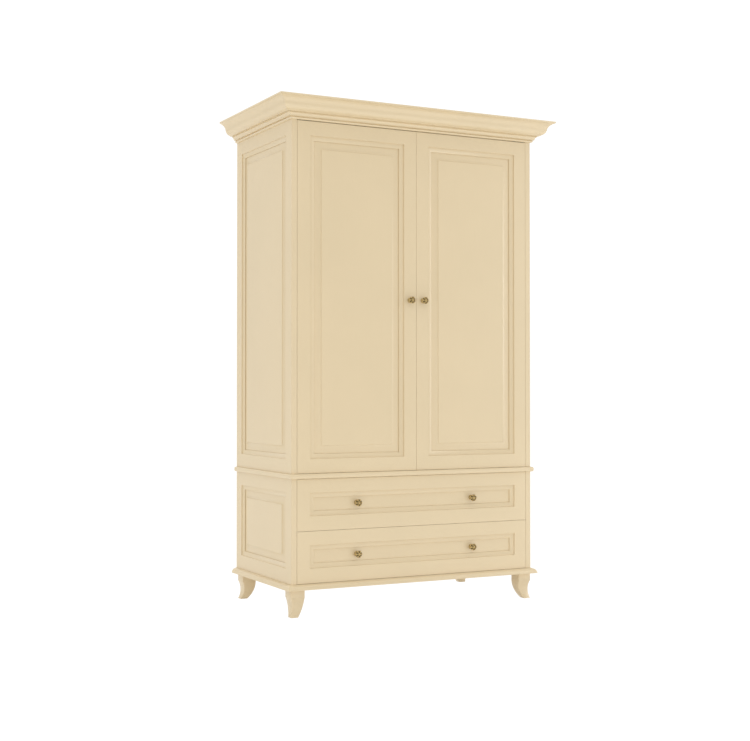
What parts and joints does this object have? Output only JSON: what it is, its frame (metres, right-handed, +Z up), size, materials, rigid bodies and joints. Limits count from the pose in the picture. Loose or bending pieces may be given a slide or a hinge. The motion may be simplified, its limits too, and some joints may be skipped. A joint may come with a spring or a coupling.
{
  "type": "wardrobe with doors",
  "caption": "Painted wardrobe on sabre legs: panelled doors over full-width drawers, moulded cornice, bullnosed waist board, hanging rail and hat shelf inside.",
  "frame": {"origin": "on the floor, at the middle of the overall plan", "axes": "+Z up, doors and drawers face -Y, +X to the right as seen from the front"},
  "size_m": [1.3738, 0.7186, 2.1929],
  "materials": {
    "cream_paint": "satin ivory paint on wood",
    "beech": "oiled beech",
    "plywood": "sealed birch plywood",
    "antique_brass": "antiqued, softly polished",
    "hinge_steel": "brushed zinc-plated",
    "chrome_rail": "polished chrome",
    "black_plastic": "moulded matte"
  },
  "bodies": {
    "carcass": {"base_board": "cream_paint", "waist_board": "cream_paint", "top_board": "cream_paint", "lower_side_frame_left": "cream_paint", "lower_side_frame_right": "cream_paint", "lower_side_panel_left": "cream_paint", "lower_side_panel_right": "cream_paint", "upper_side_frame_left": "cream_paint", "upper_side_frame_right": "cream_paint", "upper_side_panel_left": "cream_paint", "upper_side_panel_right": "cream_paint", "lower_back_panel": "plywood", "upper_back_panel": "plywood", "cornice_front": "cream_paint", "cornice_left": "cream_paint", "cornice_right": "cream_paint", "cornice_back_rail": "cream_paint", "leg_front_left": "cream_paint", "leg_front_right": "cream_paint", "leg_rear_left": "cream_paint", "leg_rear_right": "cream_paint", "hat_shelf": "cream_paint", "shelf_cleat_left": "cream_paint", "shelf_cleat_right": "cream_paint", "hanging_rail": "chrome_rail", "rail_socket_left": "chrome_rail", "rail_socket_right": "chrome_rail", "door_catch": "black_plastic", "case_pivot_top_left": "hinge_steel", "case_pivot_top_right": "hinge_steel", "case_pivot_bottom_left": "hinge_steel", "case_pivot_bottom_right": "hinge_steel", "lower_runner_left": "beech", "lower_runner_right": "beech", "upper_runner_left": "beech", "upper_runner_right": "beech"},
    "left_door": {"left_door_frame": "cream_paint", "left_door_panel": "cream_paint", "left_door_knob": "antique_brass", "left_door_pivot_top": "hinge_steel", "left_door_pivot_bottom": "hinge_steel"},
    "right_door": {"right_door_frame": "cream_paint", "right_door_panel": "cream_paint", "right_door_knob": "antique_brass", "right_door_pivot_top": "hinge_steel", "right_door_pivot_bottom": "hinge_steel"},
    "upper_drawer": {"upper_drawer_front": "cream_paint", "upper_drawer_bottom": "plywood", "upper_drawer_back": "beech", "upper_drawer_side_left": "beech", "upper_drawer_side_right": "beech", "upper_drawer_knob_left": "antique_brass", "upper_drawer_knob_right": "antique_brass"},
    "lower_drawer": {"lower_drawer_front": "cream_paint", "lower_drawer_bottom": "plywood", "lower_drawer_back": "beech", "lower_drawer_side_left": "beech", "lower_drawer_side_right": "beech", "lower_drawer_knob_left": "antique_brass", "lower_drawer_knob_right": "antique_brass"}
  },
  "joints": [
    {"name": "left_door_hinge", "type": "hinge", "parent": "carcass", "child": "left_door", "pos_m": [-0.544, -0.2662, 0.606], "axis": [0, 0, -1], "range_deg": [0, 110]},
    {"name": "right_door_hinge", "type": "hinge", "parent": "carcass", "child": "right_door", "pos_m": [0.544, -0.2662, 0.606], "axis": [0, 0, 1], "range_deg": [0, 110]},
    {"name": "upper_drawer_slide", "type": "slide", "parent": "carcass", "child": "upper_drawer", "axis": [0, -1, 0], "range_m": [0, 0.42]},
    {"name": "lower_drawer_slide", "type": "slide", "parent": "carcass", "child": "lower_drawer", "axis": [0, -1, 0], "range_m": [0, 0.42]}
  ]
}
